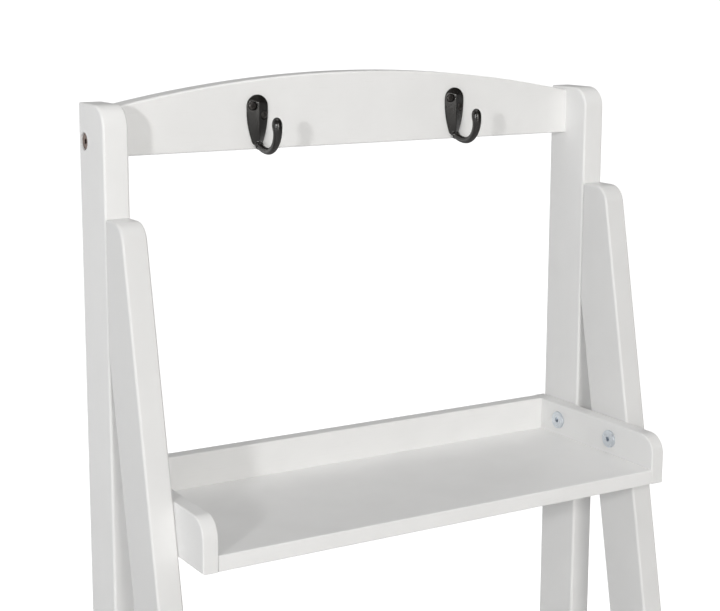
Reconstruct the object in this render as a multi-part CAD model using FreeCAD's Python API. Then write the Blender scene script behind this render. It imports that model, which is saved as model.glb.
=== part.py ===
import FreeCAD, Part
import math
import os

# Free-standing ladder rack of painted wood: two upright posts, an arched hook rail between their tops,
# two slanted front legs butted on the posts, and three trays bolted between posts and legs.
# Millimetres. X is the width, -Y is the front, +Z is up. The origin is on the floor, in the middle of
# the rack's width and depth.

# ---- driving sizes: the whole rack ----
RACK_WIDTH = 450.0
POST_TOP = 1002.0            # height of the posts' tops above the floor
FLOOR_GAP = 3.0              # posts and legs end this far above the floor, on their glides

# ---- posts and legs: planed strips ----
STRIP_THICKNESS = 19.5       # along X
STRIP_DEPTH = 46.0
STRIP_EASE = 2.0             # rounding of the long edges
POST_TOP_RADIUS = 16.5       # rounded top front corner of a post
LEG_ANGLE = 11.0             # a leg's lean from upright, in degrees
LEG_TOP_BELOW_POST = 80.0
LEG_TOP_DEPTH = 28.0         # depth of a leg's flat top, in front of its post
LEG_TOP_RADIUS = 15.0

# ---- hook rail ----
RAIL_THICKNESS = 20.0
RAIL_END_HEIGHT = 36.0
RAIL_RISE = 21.0             # the arch's rise from the ends to the middle
RAIL_BELOW_POST = 3.0        # step from a post's top down to the rail's end
RAIL_EASE = 1.5

# ---- trays ----
TRAY_BOTTOMS = {"upper": 690.0, "middle": 390.0, "lower": 90.0}
BOARD = 12.0                 # thickness of every tray board
TRAY_HEIGHT = 39.0
TRAY_NOSE = 39.0             # how far a tray stands in front of the legs at its underside
CHEEK_RADIUS = 15.0          # rounded top front corner of a cheek
BOARD_EASE = 1.2

# ---- hooks: plate against the rail, round arm, swollen tip ----
HOOK_SPACING = 180.0
HOOK_TOP_ABOVE_RAIL = 41.5   # from the rail's lower edge up to the plate's top
PLATE_TOP_RADIUS = 9.0
PLATE_FOOT_RADIUS = 5.0
PLATE_SIDE_RADIUS = 70.0        # the gentle bow down each side
PLATE_HEIGHT = 39.0
PLATE_RIDGE = 4.4            # thickness along the middle ridge
PLATE_RIM = 1.6              # thickness at the rim
PLATE_HIP = 4.5              # from the top down to where the ridge has its full thickness
ARM_AT_ROOT = 2.75             # the arm's own radius where it leaves the plate,
ARM_AT_LOWEST = 2.6            # at its lowest point,
ARM_AT_CURL_END = 3.5          # and at the end of the curl
ARM_BOTTOM_OUT = 17.0        # the arm's lowest point, from the rail
ARM_CURL_RADIUS = 16.0       # the curl from the lowest point up to the upright stretch
ARM_ROOT_RADIUS = 30.0       # the flatter stretch from the plate to the lowest point
ARM_ROOT_OUT = 0.4
ARM_DROP = 41.5              # the arm's midline at its lowest, below the plate's top
TIP_LEAN = 8.0               # degrees, back towards the rail
TIP_RADIUS = 3.9               # where the tip is widest
TIP_LENGTH = 10.6            # from the end of the curl to the tip's top
TIP_WIDEST = 0.45            # share of the tip's length where it is widest
TIP_SHOULDER = (0.78, 0.72)  # shares of the widest radius, and of the way from there to the tip's top
SCREW_ASIDE = 4.8            # hook screws, to either side of the ridge
SCREW_DOWN = (8.3, 15.3)     # left and right screw, below the plate's top
SCREW_HEAD_RADIUS = 3.0
SCREW_HEAD_HEIGHT = 1.7
SCREW_RADIUS = 1.6
SCREW_LENGTH = 15.0
SCREW_SEAT = 1.2             # plate left under a screw head
CROSS_WIDTH = 0.7
CROSS_SPAN = 3.2
CROSS_DEPTH = 0.9

# ---- bolts, nuts and dowels ----
BOLT_RADIUS = 3.0
BOLT_HOLE_GAP = 0.25         # radial room for a bolt in wood
THREAD_GAP = 0.05            # radial room in a thread
GLUE_GAP = 0.1               # radial room round a dowel
HEX_ACROSS_FLATS = 4.0
HEX_DEPTH = 2.5
RAIL_BOLT_UP = 11.5          # above the rail's lower edge
RAIL_BOLT_LENGTH = 50.0
RAIL_BOLT_HEAD_RADIUS = 6.2
RAIL_BOLT_HEAD_HEIGHT = 2.0
RAIL_BOLT_SUNK = 1.2         # head's face below the post's outer face
RAIL_BORE_GAP = 0.4          # radial room round a sunk head
BARREL_RADIUS = 5.0
BARREL_LENGTH = 14.0
BARREL_INTO_RAIL = 30.0      # from the rail's end to the barrel nut
BARREL_SLOT_WIDTH = 1.2      # screwdriver slot in the nut's rear end
BARREL_SLOT_DEPTH = 1.5
RAIL_DOWEL_UP = 25.0
RAIL_DOWEL_RADIUS = 4.0
RAIL_DOWEL_IN_POST = 10.0
RAIL_DOWEL_IN_RAIL = 20.0
TRAY_BOLT_UP = 25.0          # above the tray's underside
TRAY_BOLT_BEHIND_FRONT = 9.5 # behind the front face of the post or leg that it enters
TRAY_BOLT_LENGTH = 25.0
TRAY_BOLT_HEAD_RADIUS = 7.3
TRAY_BOLT_HEAD_HEIGHT = 2.0
HEAD_EDGE = 0.5
INSERT_RADIUS = 4.5
INSERT_LENGTH = 13.0
INSERT_BEYOND = 1.5          # hole past the end of the insert, or of the bolt if it reaches deeper
LEG_DOWELS_DOWN = (22.0, 62.0)
LEG_DOWEL_RADIUS = 4.0
LEG_DOWEL_IN_POST = 20.0
LEG_DOWEL_IN_LEG = 20.0
TRAY_DOWEL_RADIUS = 3.0
TRAY_DOWEL_IN_FACE = 8.0     # in the board whose face it enters
TRAY_DOWEL_IN_EDGE = 16.0    # in the board whose edge it enters
TRAY_DOWEL_MARGIN = 30.0     # from a row's end to its first dowel
TRAY_DOWELS_PER_ROW = 3
BACK_DOWEL_UP = 27.0

# ---- foot glides ----
GLIDE_RADIUS = 8.0
GLIDE_EDGE = 1.0
NAIL_RADIUS = 1.0
NAIL_LENGTH = 14.0

# ---- worked-out places ----
CUT_OVER = 1.0               # how far a cut runs past the face that it opens
SAME_PLACE = 1e-4
LEAN = math.tan(math.radians(LEG_ANGLE))
LEG_DEPTH = STRIP_DEPTH / math.cos(math.radians(LEG_ANGLE))
LEG_TOP = POST_TOP - LEG_TOP_BELOW_POST
RAIL_TOP_END = POST_TOP - RAIL_BELOW_POST
RAIL_BOTTOM = RAIL_TOP_END - RAIL_END_HEIGHT
INNER = RACK_WIDTH / 2 - STRIP_THICKNESS          # a post's inner face
CHEEK_INNER = INNER - BOARD
INSERT_HOLE = max(INSERT_LENGTH, TRAY_BOLT_LENGTH - BOARD) + INSERT_BEYOND
LOWEST_TRAY = min(TRAY_BOTTOMS.values())


def leg_front_depth(z):
    """Distance from the posts' back plane to the legs' front face at height z."""
    return STRIP_DEPTH + LEG_TOP_DEPTH + LEAN * (LEG_TOP - z)


def tray_depth(bottom):
    """Distance from the posts' back plane to a tray's front."""
    return leg_front_depth(bottom) + TRAY_NOSE


RACK_DEPTH = max(tray_depth(LOWEST_TRAY), leg_front_depth(FLOOR_GAP))
BACK = RACK_DEPTH / 2                             # the posts' back plane
POST_FRONT = BACK - STRIP_DEPTH


def point(x, y, z):
    return FreeCAD.Vector(x, y, z)


def box(x0, x1, y0, y1, z0, z1):
    return Part.makeBox(x1 - x0, y1 - y0, z1 - z0, point(x0, y0, z0))


def rod(radius, start, end):
    """A round rod from start to end."""
    way = end.sub(start)
    return Part.makeCylinder(radius, way.Length, start, way)


def prism(outline, way):
    """A closed outline of points as a solid."""
    wire = Part.makePolygon(outline + [outline[0]])
    return Part.Face(wire).extrude(way)


def round_edges(shape, radius, chosen):
    """The shape with the edges that chosen(edge) picks rounded."""
    edges = [edge for edge in shape.Edges if chosen(edge)]
    return shape.makeFillet(radius, edges)


def all_at(edge, axis, value):
    """Whether an edge lies in the plane axis = value."""
    ends = [getattr(v.Point, axis) for v in edge.Vertexes]
    return all(abs(end - value) < SAME_PLACE for end in ends)


def side_edges(shape, x0, x1, radius):
    """Rounds the edges round the two faces that look along X."""
    return round_edges(shape, radius, lambda e: all_at(e, "x", x0) or all_at(e, "x", x1))


def corner_edge(shape, radius, y, z):
    """Rounds the one edge along X that passes (y, z)."""
    return round_edges(shape, radius, lambda e: all_at(e, "y", y) and all_at(e, "z", z))


def one(solids):
    """Solids that don't touch, as one node's group."""
    return Part.makeCompound(solids)


def mirrored(shape):
    return shape.mirror(point(0, 0, 0), point(1, 0, 0))


def hex_socket(centre, way, depth):
    """A hexagonal socket cut, from centre along way, which has length 1."""
    across_corners = HEX_ACROSS_FLATS / math.sqrt(3)
    turned = FreeCAD.Rotation(point(0, 0, 1), way)
    corners = []
    for k in range(6):
        turn = math.radians(60 * k)
        flat = point(across_corners * math.cos(turn), across_corners * math.sin(turn), 0)
        corners.append(centre.add(turned.multVec(flat)))
    return prism(corners, way * depth)


def socket_bolt(face_centre, way, length, head_radius, head_height):
    """A flat-headed hex-socket bolt: face_centre is on the head's outer face, way points into the work."""
    along = point(way.x, way.y, way.z).normalize()
    under = face_centre.add(along * head_height)
    head = rod(head_radius, face_centre, under)
    head = round_edges(head, HEAD_EDGE, lambda e: e.CenterOfMass.sub(face_centre).Length < SAME_PLACE)
    end = under.add(along * length)
    bolt = head.fuse(rod(BOLT_RADIUS, under, end))
    return bolt.cut(hex_socket(face_centre, along, HEX_DEPTH))


# ---- fixings: where each one goes, so that holes and hardware share one place ----
def tray_bolt_places(bottom):
    """(y, z) of the post bolt and of the leg bolt of a tray."""
    z = bottom + TRAY_BOLT_UP
    leg_y = BACK - leg_front_depth(z) + TRAY_BOLT_BEHIND_FRONT
    return [(POST_FRONT + TRAY_BOLT_BEHIND_FRONT, z), (leg_y, z)]


def leg_dowel_places():
    return [LEG_TOP - down for down in LEG_DOWELS_DOWN]


MIDDLE_OF_STRIP = RACK_WIDTH / 2 - STRIP_THICKNESS / 2
RAIL_MIDDLE_Y = BACK - RAIL_THICKNESS / 2
RAIL_BOLT_Z = RAIL_BOTTOM + RAIL_BOLT_UP
RAIL_DOWEL_Z = RAIL_BOTTOM + RAIL_DOWEL_UP
RAIL_BOLT_FACE = RACK_WIDTH / 2 - RAIL_BOLT_SUNK
RAIL_BOLT_SEAT = RAIL_BOLT_FACE - RAIL_BOLT_HEAD_HEIGHT
BARREL_X = INNER - BARREL_INTO_RAIL
RAIL_BOLT_END = RAIL_BOLT_SEAT - RAIL_BOLT_LENGTH


def leg_foot_middle():
    """y of the middle of a leg's foot."""
    return BACK - leg_front_depth(FLOOR_GAP) + LEG_DEPTH / 2


def nail_hole(y):
    top = FLOOR_GAP + NAIL_LENGTH
    return rod(NAIL_RADIUS, point(MIDDLE_OF_STRIP, y, FLOOR_GAP - CUT_OVER), point(MIDDLE_OF_STRIP, y, top))


# ---- right post, as its own node; the left one is its mirror image ----
def right_post():
    x0, x1 = INNER, RACK_WIDTH / 2
    post = box(x0, x1, POST_FRONT, BACK, FLOOR_GAP, POST_TOP)
    post = corner_edge(post, POST_TOP_RADIUS, POST_FRONT, POST_TOP)
    post = side_edges(post, x0, x1, STRIP_EASE)
    cuts = [
        rod(RAIL_BOLT_HEAD_RADIUS + RAIL_BORE_GAP,
            point(x1 + CUT_OVER, RAIL_MIDDLE_Y, RAIL_BOLT_Z),
            point(RAIL_BOLT_SEAT, RAIL_MIDDLE_Y, RAIL_BOLT_Z)),
        rod(BOLT_RADIUS + BOLT_HOLE_GAP,
            point(x1, RAIL_MIDDLE_Y, RAIL_BOLT_Z), point(x0 - CUT_OVER, RAIL_MIDDLE_Y, RAIL_BOLT_Z)),
        rod(RAIL_DOWEL_RADIUS + GLUE_GAP,
            point(x0 - CUT_OVER, RAIL_MIDDLE_Y, RAIL_DOWEL_Z),
            point(x0 + RAIL_DOWEL_IN_POST, RAIL_MIDDLE_Y, RAIL_DOWEL_Z)),
        nail_hole(BACK - STRIP_DEPTH / 2),
    ]
    for z in leg_dowel_places():
        cuts.append(rod(LEG_DOWEL_RADIUS + GLUE_GAP, point(MIDDLE_OF_STRIP, POST_FRONT - CUT_OVER, z),
                        point(MIDDLE_OF_STRIP, POST_FRONT + LEG_DOWEL_IN_POST, z)))
    for bottom in TRAY_BOTTOMS.values():
        y, z = tray_bolt_places(bottom)[0]
        cuts.append(rod(INSERT_RADIUS + THREAD_GAP, point(x0 - CUT_OVER, y, z),
                        point(x0 + INSERT_HOLE, y, z)))
    return post.cut(cuts)


# ---- right leg: upright back above, slanted back and front below ----
def right_leg():
    x0, x1 = INNER, RACK_WIDTH / 2
    butt_foot = LEG_TOP - (LEG_DEPTH - LEG_TOP_DEPTH) / LEAN
    top_front = BACK - leg_front_depth(LEG_TOP)
    foot_front = BACK - leg_front_depth(FLOOR_GAP)
    outline = [
        point(x0, POST_FRONT, LEG_TOP),
        point(x0, top_front, LEG_TOP),
        point(x0, foot_front, FLOOR_GAP),
        point(x0, foot_front + LEG_DEPTH, FLOOR_GAP),
        point(x0, POST_FRONT, butt_foot),
    ]
    leg = prism(outline, point(x1 - x0, 0, 0))
    leg = corner_edge(leg, LEG_TOP_RADIUS, top_front, LEG_TOP)
    leg = side_edges(leg, x0, x1, STRIP_EASE)
    cuts = [nail_hole(leg_foot_middle())]
    for z in leg_dowel_places():
        cuts.append(rod(LEG_DOWEL_RADIUS + GLUE_GAP, point(MIDDLE_OF_STRIP, POST_FRONT + CUT_OVER, z),
                        point(MIDDLE_OF_STRIP, POST_FRONT - LEG_DOWEL_IN_LEG, z)))
    for bottom in TRAY_BOTTOMS.values():
        y, z = tray_bolt_places(bottom)[1]
        cuts.append(rod(INSERT_RADIUS + THREAD_GAP, point(x0 - CUT_OVER, y, z),
                        point(x0 + INSERT_HOLE, y, z)))
    return leg.cut(cuts)


# ---- hook rail: flat below, one long arc above ----
def hook_rail():
    front, back = BACK - RAIL_THICKNESS, BACK
    low, end, peak = RAIL_BOTTOM, RAIL_TOP_END, RAIL_TOP_END + RAIL_RISE
    lower = Part.makePolygon([point(-INNER, front, end), point(-INNER, front, low),
                              point(INNER, front, low), point(INNER, front, end)])
    arch = Part.Arc(point(INNER, front, end), point(0, front, peak), point(-INNER, front, end)).toShape()
    rail = Part.Face(Part.Wire(lower.Edges + [arch])).extrude(point(0, back - front, 0))

    def long_edge(edge):
        on_face = all_at(edge, "y", front) or all_at(edge, "y", back)
        return on_face and edge.Length > RACK_WIDTH / 2

    rail = round_edges(rail, RAIL_EASE, long_edge)
    cuts = []
    for side in (-1, 1):
        end_x = side * INNER
        cuts.append(rod(BOLT_RADIUS + BOLT_HOLE_GAP,
                        point(end_x + side * CUT_OVER, RAIL_MIDDLE_Y, RAIL_BOLT_Z),
                        point(side * (RAIL_BOLT_END - BOLT_HOLE_GAP), RAIL_MIDDLE_Y, RAIL_BOLT_Z)))
        barrel_floor = RAIL_MIDDLE_Y - BARREL_LENGTH / 2
        cuts.append(rod(BARREL_RADIUS + THREAD_GAP,
                        point(side * BARREL_X, BACK + CUT_OVER, RAIL_BOLT_Z),
                        point(side * BARREL_X, barrel_floor, RAIL_BOLT_Z)))
        cuts.append(rod(RAIL_DOWEL_RADIUS + GLUE_GAP,
                        point(end_x + side * CUT_OVER, RAIL_MIDDLE_Y, RAIL_DOWEL_Z),
                        point(end_x - side * RAIL_DOWEL_IN_RAIL, RAIL_MIDDLE_Y, RAIL_DOWEL_Z)))
        for aside, down in hook_screw_places():
            x, z = side * HOOK_SPACING / 2 + aside, hook_top() - down
            cuts.append(rod(SCREW_RADIUS + THREAD_GAP, point(x, front - CUT_OVER, z),
                            point(x, front + SCREW_LENGTH - SCREW_SEAT, z)))
    return rail.cut(cuts)


# ---- a hook, in its own frame: X aside, Y out of the rail is negative, Z down from the plate's top ----
def hook_top():
    return RAIL_BOTTOM + HOOK_TOP_ABOVE_RAIL


def hook_screw_places():
    """(aside, down) of a hook's two screws."""
    return [(-SCREW_ASIDE, SCREW_DOWN[0]), (SCREW_ASIDE, SCREW_DOWN[1])]


def teardrop():
    """The outline: a large arc above, a small one below, and a gentle bow that touches both on each side."""
    top, foot, bow = PLATE_TOP_RADIUS, PLATE_FOOT_RADIUS, PLATE_SIDE_RADIUS
    top_z, foot_z = -top, -(PLATE_HEIGHT - foot)
    apart = top_z - foot_z
    below = (apart ** 2 + (bow - top) ** 2 - (bow - foot) ** 2) / (2 * apart)
    aside, bow_z = math.sqrt((bow - top) ** 2 - below ** 2), top_z - below

    def touching(centre_z, side):
        """On a side's bow, straight out from its centre through a point of the middle line."""
        across, rise = aside, centre_z - bow_z
        far = bow / math.hypot(across, rise)
        return point(side * (far * across - aside), 0, bow_z + far * rise)

    def bow_down(side, first, last):
        between = touching((top_z + foot_z) / 2, side)
        return Part.Arc(touching(first, side), between, touching(last, side)).toShape()

    top_arc = Part.Arc(touching(top_z, 1), point(0, 0, 0), touching(top_z, -1)).toShape()
    foot_arc = Part.Arc(touching(foot_z, -1), point(0, 0, -PLATE_HEIGHT), touching(foot_z, 1)).toShape()
    return Part.Wire([top_arc, bow_down(-1, top_z, foot_z), foot_arc, bow_down(1, foot_z, top_z)])


def hook_plate():
    """A teardrop with a ridge down its middle and facets falling to a thin rim."""
    blank = Part.Face(teardrop()).extrude(point(0, -PLATE_RIDGE, 0))
    half, over, far = PLATE_TOP_RADIUS, CUT_OVER, PLATE_HEIGHT + CUT_OVER
    gable = prism([point(-half, 0, over), point(-half, -PLATE_RIM, over), point(0, -PLATE_RIDGE, over),
                   point(half, -PLATE_RIM, over), point(half, 0, over)], point(0, 0, -far - over))
    hip = prism([point(-half, 0, 0), point(-half, -PLATE_RIM, 0), point(-half, -PLATE_RIDGE, -PLATE_HIP),
                 point(-half, -PLATE_RIDGE, -far), point(-half, 0, -far)], point(2 * half, 0, 0))
    return blank.common(gable).common(hip)


def hook_arm():
    """The round arm: one smooth skin over rings along its two arcs, and the domed end of its tip."""
    root_z, curl_z = ARM_ROOT_RADIUS - ARM_DROP, ARM_CURL_RADIUS - ARM_DROP
    curl_end = ARM_BOTTOM_OUT + ARM_CURL_RADIUS
    root_degrees = math.degrees(math.asin((ARM_BOTTOM_OUT - ARM_ROOT_OUT) / ARM_ROOT_RADIUS))

    def ring(radius, out, z, climb):
        """A ring square to the arm, where the arm runs at this climb from level, in degrees."""
        made = Part.makeCircle(radius, point(0, 0, 0), point(0, 0, 1))
        made.rotate(point(0, 0, 0), point(1, 0, 0), 90 - climb)
        made.translate(point(0, -out, z))
        return Part.Wire(made)

    def on_arc(bend, centre_z, degrees, radius):
        turn = math.radians(degrees)
        return ring(radius, ARM_BOTTOM_OUT + bend * math.sin(turn), centre_z - bend * math.cos(turn), degrees)

    rings = []
    for share in (1.0, 0.66, 0.33):
        radius = ARM_AT_LOWEST + (ARM_AT_ROOT - ARM_AT_LOWEST) * share
        rings.append(on_arc(ARM_ROOT_RADIUS, root_z, -root_degrees * share, radius))
    for share in (0.0, 0.25, 0.5, 0.75, 1.0):
        radius = ARM_AT_LOWEST + (ARM_AT_CURL_END - ARM_AT_LOWEST) * share ** 2
        rings.append(on_arc(ARM_CURL_RADIUS, curl_z, 90 * share, radius))
    up, lean = TIP_WIDEST * TIP_LENGTH, math.radians(TIP_LEAN)
    widest_out, widest_z = curl_end - up * math.sin(lean), curl_z + up * math.cos(lean)
    rings.append(ring(TIP_RADIUS, widest_out, widest_z, 90 + TIP_LEAN))
    arm = Part.makeLoft(rings, True)

    # the dome's half outline: (radius, height) from the widest ring to the top
    height = TIP_LENGTH - up
    outline = [(TIP_RADIUS, 0.0), (TIP_SHOULDER[0] * TIP_RADIUS, TIP_SHOULDER[1] * height), (0.0, height)]
    curve = Part.BSplineCurve()
    curve.interpolate([point(r, 0, h) for r, h in outline],
                      InitialTangent=point(0, 0, 1), FinalTangent=point(-1, 0, 0))
    low, edge, high = point(0, 0, 0), point(TIP_RADIUS, 0, 0), point(0, 0, height)
    half = Part.Wire([Part.makeLine(low, edge), curve.toShape(), Part.makeLine(high, low)])
    dome = Part.Face(half).revolve(point(0, 0, 0), point(0, 0, 1), 360)
    dome.rotate(point(0, 0, 0), point(1, 0, 0), -TIP_LEAN)
    dome.translate(point(0, -widest_out, widest_z))
    return arm.fuse(dome)


def placed_hook(side):
    """A hook in place: the plate with its screw seats, and the arm cut off at the rail's face."""
    cuts = []
    for aside, down in hook_screw_places():
        cuts.append(rod(SCREW_RADIUS + THREAD_GAP, point(aside, CUT_OVER, -down),
                        point(aside, -SCREW_SEAT - CUT_OVER, -down)))
        cuts.append(rod(SCREW_HEAD_RADIUS + THREAD_GAP, point(aside, -SCREW_SEAT, -down),
                        point(aside, -PLATE_RIDGE - CUT_OVER, -down)))
    wide, reach = PLATE_TOP_RADIUS, ARM_BOTTOM_OUT + ARM_CURL_RADIUS + 2 * TIP_RADIUS
    in_front = box(-wide, wide, -reach, 0, -(ARM_DROP + wide), 0)
    hook = hook_plate().cut(cuts).fuse(hook_arm().common(in_front)).removeSplitter()
    hook.translate(point(side * HOOK_SPACING / 2, BACK - RAIL_THICKNESS, hook_top()))
    return hook


def hook_screws(side):
    """A hook's two cross-recessed screws."""
    made = []
    for aside, down in hook_screw_places():
        seat = point(aside, -SCREW_SEAT, -down)
        face = point(aside, -SCREW_SEAT - SCREW_HEAD_HEIGHT, -down)
        end = point(aside, SCREW_LENGTH - SCREW_SEAT, -down)
        screw = rod(SCREW_HEAD_RADIUS, seat, face).fuse(rod(SCREW_RADIUS, seat, end))
        half_span, half_width = CROSS_SPAN / 2, CROSS_WIDTH / 2
        y0, y1 = face.y - CUT_OVER, face.y + CROSS_DEPTH
        slot = box(aside - half_span, aside + half_span, y0, y1, -down - half_width, -down + half_width)
        across = box(aside - half_width, aside + half_width, y0, y1, -down - half_span, -down + half_span)
        made.append(screw.cut([slot, across]))
    group = one(made)
    group.translate(point(side * HOOK_SPACING / 2, BACK - RAIL_THICKNESS, hook_top()))
    return group


# ---- rail hardware ----
def rail_bolts():
    made = []
    for side in (-1, 1):
        face = point(side * RAIL_BOLT_FACE, RAIL_MIDDLE_Y, RAIL_BOLT_Z)
        made.append(socket_bolt(face, point(-side, 0, 0), RAIL_BOLT_LENGTH,
                                RAIL_BOLT_HEAD_RADIUS, RAIL_BOLT_HEAD_HEIGHT))
    return one(made)


def rail_barrel_nuts():
    made = []
    for side in (-1, 1):
        x = side * BARREL_X
        nut = rod(BARREL_RADIUS, point(x, RAIL_MIDDLE_Y - BARREL_LENGTH / 2, RAIL_BOLT_Z),
                  point(x, RAIL_MIDDLE_Y + BARREL_LENGTH / 2, RAIL_BOLT_Z))
        bore = rod(BOLT_RADIUS + THREAD_GAP, point(x - 2 * BARREL_RADIUS, RAIL_MIDDLE_Y, RAIL_BOLT_Z),
                   point(x + 2 * BARREL_RADIUS, RAIL_MIDDLE_Y, RAIL_BOLT_Z))
        rear = RAIL_MIDDLE_Y + BARREL_LENGTH / 2
        slot = box(x - BARREL_RADIUS, x + BARREL_RADIUS, rear - BARREL_SLOT_DEPTH, rear,
                   RAIL_BOLT_Z - BARREL_SLOT_WIDTH / 2, RAIL_BOLT_Z + BARREL_SLOT_WIDTH / 2)
        made.append(nut.cut([bore, slot]))
    return one(made)


def rail_dowels():
    made = []
    for side in (-1, 1):
        made.append(rod(RAIL_DOWEL_RADIUS,
                        point(side * (INNER - RAIL_DOWEL_IN_RAIL), RAIL_MIDDLE_Y, RAIL_DOWEL_Z),
                        point(side * (INNER + RAIL_DOWEL_IN_POST), RAIL_MIDDLE_Y, RAIL_DOWEL_Z)))
    return one(made)


def leg_dowels():
    made = []
    for side in (-1, 1):
        for z in leg_dowel_places():
            made.append(rod(LEG_DOWEL_RADIUS,
                            point(side * MIDDLE_OF_STRIP, POST_FRONT - LEG_DOWEL_IN_LEG, z),
                            point(side * MIDDLE_OF_STRIP, POST_FRONT + LEG_DOWEL_IN_POST, z)))
    return one(made)


# ---- a tray: shelf and back between two cheeks ----
def row(start, end, count):
    """Evenly spaced places from start to end."""
    return [start + (end - start) * k / (count - 1) for k in range(count)]


def shelf_end_dowels(bottom):
    """(y, z) of the dowels between the shelf's end and a cheek."""
    front, back = BACK - tray_depth(bottom), BACK - BOARD
    z = bottom + BOARD / 2
    return [(y, z) for y in row(front + TRAY_DOWEL_MARGIN, back - TRAY_DOWEL_MARGIN, TRAY_DOWELS_PER_ROW)]


def back_row_dowels():
    """x of the dowels between the shelf's rear edge and the back board."""
    reach = CHEEK_INNER - TRAY_DOWEL_MARGIN
    return row(-reach, reach, TRAY_DOWELS_PER_ROW)


def tray_shelf(bottom):
    front = BACK - tray_depth(bottom)
    shelf = box(-CHEEK_INNER, CHEEK_INNER, front, BACK - BOARD, bottom, bottom + BOARD)
    shelf = round_edges(shelf, BOARD_EASE, lambda e: all_at(e, "y", front) and e.Length > BOARD * 2)
    cuts = []
    for side in (-1, 1):
        for y, z in shelf_end_dowels(bottom):
            cuts.append(rod(TRAY_DOWEL_RADIUS + GLUE_GAP, point(side * (CHEEK_INNER + CUT_OVER), y, z),
                            point(side * (CHEEK_INNER - TRAY_DOWEL_IN_EDGE), y, z)))
    for x in back_row_dowels():
        z = bottom + BOARD / 2
        cuts.append(rod(TRAY_DOWEL_RADIUS + GLUE_GAP, point(x, BACK - BOARD + CUT_OVER, z),
                        point(x, BACK - BOARD - TRAY_DOWEL_IN_EDGE, z)))
    return shelf.cut(cuts)


def tray_back(bottom):
    top = bottom + TRAY_HEIGHT
    board = box(-CHEEK_INNER, CHEEK_INNER, BACK - BOARD, BACK, bottom, top)
    board = round_edges(board, BOARD_EASE, lambda e: all_at(e, "z", top) and e.Length > BOARD * 2)
    cuts = []
    for x in back_row_dowels():
        z = bottom + BOARD / 2
        cuts.append(rod(TRAY_DOWEL_RADIUS + GLUE_GAP, point(x, BACK - BOARD - CUT_OVER, z),
                        point(x, BACK - BOARD + TRAY_DOWEL_IN_FACE, z)))
    for side in (-1, 1):
        y, z = BACK - BOARD / 2, bottom + BACK_DOWEL_UP
        cuts.append(rod(TRAY_DOWEL_RADIUS + GLUE_GAP, point(side * (CHEEK_INNER + CUT_OVER), y, z),
                        point(side * (CHEEK_INNER - TRAY_DOWEL_IN_EDGE), y, z)))
    return board.cut(cuts)


def right_cheek(bottom):
    front, top = BACK - tray_depth(bottom), bottom + TRAY_HEIGHT
    cheek = box(CHEEK_INNER, INNER, front, BACK, bottom, top)
    cheek = corner_edge(cheek, CHEEK_RADIUS, front, top)
    cheek = side_edges(cheek, CHEEK_INNER, INNER, BOARD_EASE)
    cuts = []
    for y, z in tray_bolt_places(bottom):
        cuts.append(rod(BOLT_RADIUS + BOLT_HOLE_GAP, point(CHEEK_INNER - CUT_OVER, y, z),
                        point(INNER + CUT_OVER, y, z)))
    for y, z in shelf_end_dowels(bottom) + [(BACK - BOARD / 2, bottom + BACK_DOWEL_UP)]:
        cuts.append(rod(TRAY_DOWEL_RADIUS + GLUE_GAP, point(CHEEK_INNER - CUT_OVER, y, z),
                        point(CHEEK_INNER + TRAY_DOWEL_IN_FACE, y, z)))
    return cheek.cut(cuts)


def tray_dowels(bottom):
    made = []
    for side in (-1, 1):
        for y, z in shelf_end_dowels(bottom) + [(BACK - BOARD / 2, bottom + BACK_DOWEL_UP)]:
            made.append(rod(TRAY_DOWEL_RADIUS, point(side * (CHEEK_INNER - TRAY_DOWEL_IN_EDGE), y, z),
                            point(side * (CHEEK_INNER + TRAY_DOWEL_IN_FACE), y, z)))
    for x in back_row_dowels():
        z = bottom + BOARD / 2
        made.append(rod(TRAY_DOWEL_RADIUS, point(x, BACK - BOARD - TRAY_DOWEL_IN_EDGE, z),
                        point(x, BACK - BOARD + TRAY_DOWEL_IN_FACE, z)))
    return one(made)


def tray_bolts(bottom):
    made = []
    for side in (-1, 1):
        for y, z in tray_bolt_places(bottom):
            face = point(side * (CHEEK_INNER - TRAY_BOLT_HEAD_HEIGHT), y, z)
            made.append(socket_bolt(face, point(side, 0, 0), TRAY_BOLT_LENGTH,
                                    TRAY_BOLT_HEAD_RADIUS, TRAY_BOLT_HEAD_HEIGHT))
    return one(made)


def tray_inserts(bottom):
    made = []
    for side in (-1, 1):
        for y, z in tray_bolt_places(bottom):
            start, end = point(side * INNER, y, z), point(side * (INNER + INSERT_LENGTH), y, z)
            insert = rod(INSERT_RADIUS, start, end)
            bore_end = point(side * (INNER + INSERT_LENGTH + CUT_OVER), y, z)
            bore = rod(BOLT_RADIUS + THREAD_GAP, point(side * (INNER - CUT_OVER), y, z), bore_end)
            made.append(insert.cut(bore))
    return one(made)


# ---- foot glides: a plastic button on a nail, one under each post and leg ----
def foot_glide(x, y):
    button = rod(GLIDE_RADIUS, point(x, y, 0), point(x, y, FLOOR_GAP))
    button = round_edges(button, GLIDE_EDGE, lambda e: all_at(e, "z", 0) and len(e.Vertexes) == 1)
    nail = rod(NAIL_RADIUS, point(x, y, FLOOR_GAP), point(x, y, FLOOR_GAP + NAIL_LENGTH))
    return button.fuse(nail)


def foot_glides():
    made = []
    for side in (-1, 1):
        for y in (BACK - STRIP_DEPTH / 2, leg_foot_middle()):
            made.append(foot_glide(side * MIDDLE_OF_STRIP, y))
    return one(made)


def write(name, shape):
    bad = [s for s in shape.Solids if not s.isValid()]
    if bad or not shape.Solids:
        raise ValueError(name + " has no valid solid")
    shape.exportStep("parts/" + name + ".step")
    print(name, len(shape.Solids), "solids,", round(shape.Volume), "mm3")


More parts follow.
